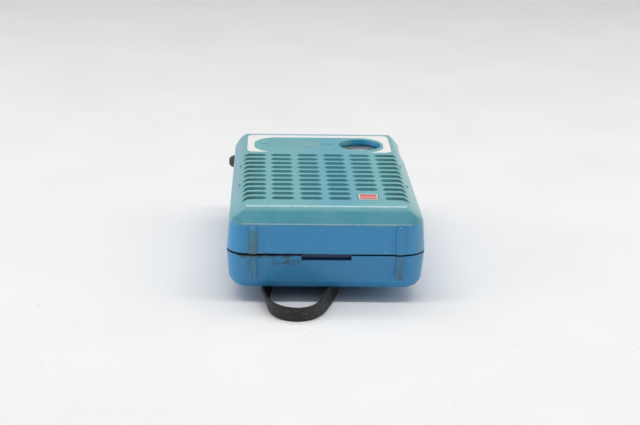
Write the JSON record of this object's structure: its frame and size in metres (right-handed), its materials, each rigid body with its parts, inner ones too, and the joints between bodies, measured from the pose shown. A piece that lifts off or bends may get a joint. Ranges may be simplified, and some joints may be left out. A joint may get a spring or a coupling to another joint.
{
  "type": "transistor pocket radio",
  "caption": "Pocket transistor radio lying on its wrist strap: slotted grille, dial window, tuning and volume thumbwheels, hinged split case with its works inside.",
  "frame": {"origin": "on the surface the radio rests on, under the middle of its overall box, strap and earphone jack included", "axes": "+Z out of the front with the grille, +Y from the bottom end (coin notch) to the top end (dial), +X to the right seen from the front"},
  "size_m": [0.0706, 0.123, 0.0344],
  "materials": {
    "case_blue": "satin moulded plastic, slightly faded and grimy at the edges",
    "case_teal": "satin moulded plastic, slightly faded",
    "plaque_plastic": "fine ribbed satin plastic",
    "ivory_panel": "smooth ivory plastic",
    "badge_border": "smooth ivory plastic",
    "badge_red": "red paint with a pale stripe",
    "bright_steel": "plated steel",
    "strap_vinyl": "grained vinyl with a fine woven pattern",
    "strap_metal": "plated crimp",
    "clear_lens": "clear plastic",
    "grille_cloth": "thin dark speaker cloth",
    "plated_steel": "zinc plated pressing",
    "cone_paper": "pressed paper",
    "magnet_steel": "dull grey paint",
    "board_phenolic": "phenolic paper laminate",
    "ferrite": "sintered ferrite",
    "enamelled_wire": "enamelled copper wire, close wound",
    "holder_plastic": "natural nylon",
    "capacitor_body": "milky clear polystyrene",
    "brass": "turned brass",
    "black_plastic": "moulded black phenolic",
    "can_aluminium": "drawn aluminium can",
    "core_red": "painted ferrite core",
    "core_yellow": "painted ferrite core",
    "core_white": "painted ferrite core",
    "core_black": "painted ferrite core",
    "transistor_metal": "plain metal can",
    "lead_wire": "tinned wire",
    "capacitor_sleeve": "blue plastic sleeve",
    "ceramic_disc": "dipped ceramic",
    "resistor_body": "moulded carbon resistor with colour bands",
    "diode_glass": "painted glass",
    "core_iron": "iron laminations",
    "winding_tape": "varnished tape",
    "battery_jacket": "plain painted steel jacket",
    "wire_red": "PVC insulation",
    "wire_black": "PVC insulation",
    "wire_yellow": "PVC insulation",
    "wheel_plastic": "dark grey knurled plastic",
    "dial_silver": "silver dial face with plain numerals"
  },
  "bodies": {
    "back_half": {"back_case": "case_blue", "strap_pin": "bright_steel", "strap_tab": "strap_vinyl", "strap_crimp": "strap_metal", "wrist_strap": "strap_vinyl"},
    "front_half": {"front_case": "case_teal", "top_panel": "ivory_panel", "name_plaque": "plaque_plastic", "badge_border": "badge_border", "badge_plate": "badge_red", "dial_lens": "clear_lens", "grille_cloth": "grille_cloth", "speaker_frame": "plated_steel", "speaker_cone": "cone_paper", "speaker_dust_cap": "cone_paper", "speaker_magnet": "magnet_steel", "speaker_screws": "bright_steel", "circuit_board": "board_phenolic", "board_screws": "bright_steel", "ferrite_rod": "ferrite", "aerial_coil": "enamelled_wire", "rod_holders": "holder_plastic", "tuning_capacitor": "capacitor_body", "capacitor_trimmers": "brass", "volume_control": "black_plastic", "oscillator_coil": "can_aluminium", "oscillator_core": "core_red", "if_cans": "can_aluminium", "if_core_yellow": "core_yellow", "if_core_white": "core_white", "if_core_black": "core_black", "transistors": "transistor_metal", "transistor_leads": "lead_wire", "electrolytic_capacitors": "capacitor_sleeve", "ceramic_capacitors": "ceramic_disc", "resistors": "resistor_body", "resistor_leads": "lead_wire", "detector_diode": "diode_glass", "transformer_cores": "core_iron", "transformer_windings": "winding_tape", "battery": "battery_jacket", "battery_terminals": "plated_steel", "battery_snap": "black_plastic", "battery_lead_red": "wire_red", "battery_lead_black": "wire_black", "speaker_leads": "wire_yellow", "earphone_jack": "black_plastic", "jack_nut": "bright_steel"},
    "tuning_control": {"tuning_wheel": "wheel_plastic", "dial_plate": "dial_silver", "tuning_shaft": "brass", "tuning_screw": "bright_steel"},
    "volume_knob": {"volume_wheel": "wheel_plastic", "volume_shaft": "brass", "volume_screw": "bright_steel"}
  },
  "joints": [
    {"name": "case_opening", "type": "hinge", "parent": "back_half", "child": "front_half", "pos_m": [0.0003, 0.06052, 0.0183], "axis": [-1, 0, 0], "range_deg": [0, 50]},
    {"name": "tuning_turn", "type": "hinge", "parent": "front_half", "child": "tuning_control", "pos_m": [0.0166, 0.04042, 0.0275], "axis": [0, 0, 1], "range_deg": [-90, 90]},
    {"name": "volume_turn", "type": "hinge", "parent": "front_half", "child": "volume_knob", "pos_m": [-0.027, 0.04042, 0.02725], "axis": [0, 0, 1], "range_deg": [0, 270]}
  ]
}
